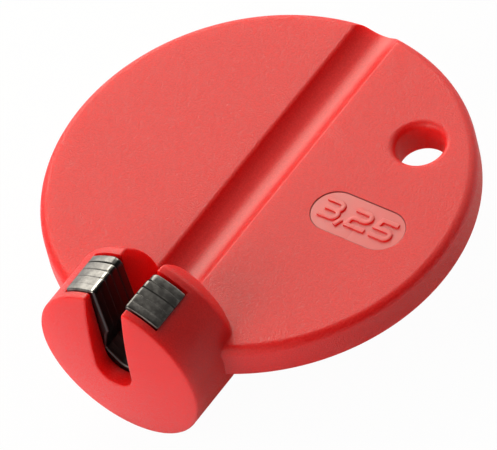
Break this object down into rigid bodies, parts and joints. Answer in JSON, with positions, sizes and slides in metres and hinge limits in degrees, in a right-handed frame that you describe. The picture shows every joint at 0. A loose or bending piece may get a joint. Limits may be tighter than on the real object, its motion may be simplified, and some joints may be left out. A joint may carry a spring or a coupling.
{
  "type": "spoke wrench",
  "caption": "Disc-shaped spoke wrench: a flat moulded grip disc with a round hub that holds a slotted stack of steel jaw plates, and a hole for a cord.",
  "frame": {"origin": "centre of the nipple seat, halfway along the stack of jaw plates", "axes": "+Y along the spoke, from the jaws over the grip disc; +Z square to the disc, out of the jaws' mouth; +X towards the lanyard hole's side"},
  "size_m": [0.045, 0.0489, 0.0187],
  "materials": {
    "body_plastic": "satin moulded nylon with a very fine grain",
    "plate_steel": "black oxide, worn bright along the rubbed edges"
  },
  "bodies": {
    "root": {"moulded_body": "body_plastic", "jaw_plate_1": "plate_steel", "jaw_plate_2": "plate_steel", "jaw_plate_3": "plate_steel", "jaw_plate_4": "plate_steel", "jaw_plate_5": "plate_steel"}
  },
  "joints": []
}
